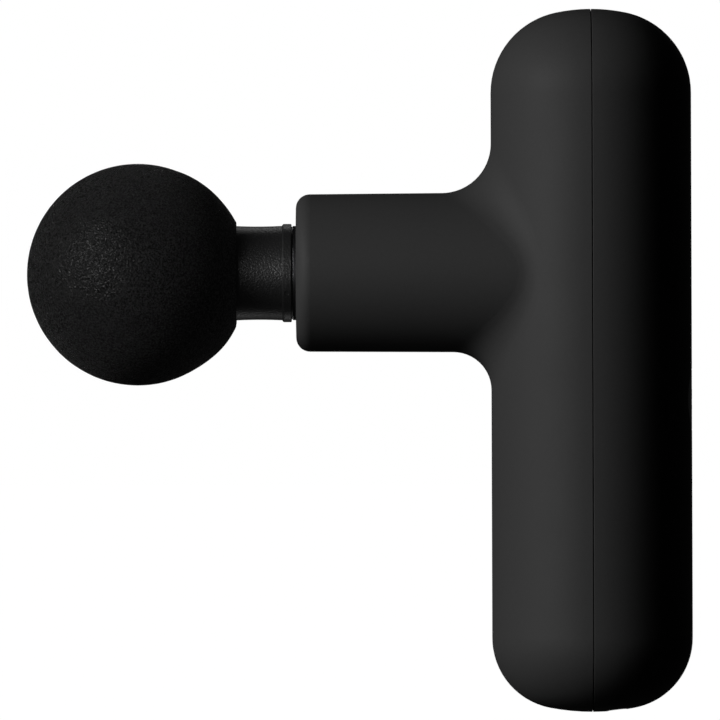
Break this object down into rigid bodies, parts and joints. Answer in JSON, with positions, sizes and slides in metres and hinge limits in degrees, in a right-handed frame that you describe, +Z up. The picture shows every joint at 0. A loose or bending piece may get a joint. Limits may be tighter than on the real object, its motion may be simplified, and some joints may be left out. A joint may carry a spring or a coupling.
{
  "type": "massage gun",
  "caption": "Pocket massage gun: a T-shaped hand-held housing whose motor drives a plunger that thrusts a ball head in and out.",
  "frame": {"origin": "centre of the round hand grip, on the handle's axis", "axes": "+Z up along the handle's axis; -X along the barrel towards the ball; the object is symmetric across the plane Y = 0, apart from its electronics and crank screws"},
  "size_m": [0.1326, 0.0442, 0.1402],
  "materials": {
    "shell_plastic": "satin",
    "stem_plastic": "satin",
    "ball_foam": "matte",
    "button_plastic": "satin",
    "bezel_plastic": "gloss",
    "clear_plastic": "gloss",
    "black_rubber": "matte",
    "bush_polymer": "satin",
    "black_anodised": "satin",
    "plain_aluminium": "satin",
    "plain_steel": "satin",
    "bearing_steel": "polished",
    "weight_brass": "satin",
    "winding_copper": "satin",
    "lamination_steel": "satin",
    "magnet_nickel": "satin",
    "cell_wrap": "satin",
    "nickel_strip": "satin",
    "cradle_plastic": "matte",
    "pad_foam": "matte",
    "board_laminate": "satin",
    "chip_resin": "satin",
    "passive_ceramic": "matte",
    "capacitor_can": "satin",
    "led_resin": "gloss",
    "connector_nylon": "satin",
    "red_insulation": "satin",
    "blue_insulation": "satin"
  },
  "bodies": {
    "housing": {"front_shell": "shell_plastic", "rear_shell": "shell_plastic", "charge_port_bezel": "bezel_plastic", "nose_wiper": "black_rubber", "guide_sleeve": "plain_aluminium", "front_guide_bush": "bush_polymer", "rear_guide_bush": "bush_polymer", "barrel_damper_rings": "black_rubber", "drive_frame": "plain_aluminium", "lower_frame_damper": "black_rubber", "upper_frame_damper": "black_rubber", "motor_base": "plain_aluminium", "motor_bearing_lower": "bearing_steel", "motor_bearing_upper": "bearing_steel", "motor_screws": "plain_steel", "stator_core": "lamination_steel", "stator_coils": "winding_copper", "battery_cells": "cell_wrap", "battery_tabs": "nickel_strip", "battery_cradle": "cradle_plastic", "battery_pads": "pad_foam", "main_board": "board_laminate", "logic_chips": "chip_resin", "power_mosfets": "chip_resin", "small_board_parts": "passive_ceramic", "bulk_capacitors": "capacitor_can", "charge_port": "nickel_strip", "charge_port_tongue": "chip_resin", "button_switch": "chip_resin", "status_leds": "led_resin", "light_pipe": "clear_plastic", "board_screws": "plain_steel", "battery_connector": "connector_nylon", "motor_connector": "connector_nylon", "battery_leads": "red_insulation", "motor_leads": "blue_insulation"},
    "rotor": {"crank": "plain_steel", "counterweight": "weight_brass", "counterweight_screws": "plain_steel", "crank_grub_screw": "plain_steel", "roller_inner_ring": "bearing_steel", "roller_washer": "plain_steel", "roller_screw": "plain_steel", "rotor_bell": "plain_steel", "rotor_magnets": "magnet_nickel", "motor_shaft": "bearing_steel", "shaft_clip": "plain_steel"},
    "roller": {"roller_outer_ring": "bearing_steel", "roller_balls": "bearing_steel"},
    "plunger": {"plunger_tube": "black_anodised", "yoke": "plain_steel", "yoke_cross_pin": "bearing_steel"},
    "head": {"head_stem": "stem_plastic", "foam_ball": "ball_foam", "stem_o_ring": "black_rubber"},
    "button": {"power_button": "button_plastic", "switch_plunger": "connector_nylon"}
  },
  "joints": [
    {"name": "crank_turn", "type": "hinge", "parent": "housing", "child": "rotor", "pos_m": [0, 0, 0.055], "axis": [0, 0, 1], "range_deg": [0, 180]},
    {"name": "plunger_slide", "type": "slide", "parent": "housing", "child": "plunger", "axis": [-1, 0, 0], "range_m": [0, 0.007]},
    {"name": "roller_spin", "type": "hinge", "parent": "rotor", "child": "roller", "pos_m": [0.0035, 0, 0.0475], "axis": [0, 0, 1], "continuous": true},
    {"name": "head_pull", "type": "slide", "parent": "plunger", "child": "head", "axis": [-1, 0, 0], "range_m": [0, 0.022]},
    {"name": "button_press", "type": "slide", "parent": "housing", "child": "button", "axis": [-1, 0, 0], "range_m": [0, 0.0005], "stiffness_N_per_m": 3000}
  ],
  "couplings": [
    {"joint": "crank_turn", "follows": "plunger_slide", "rad_per_m": 448.79}
  ]
}
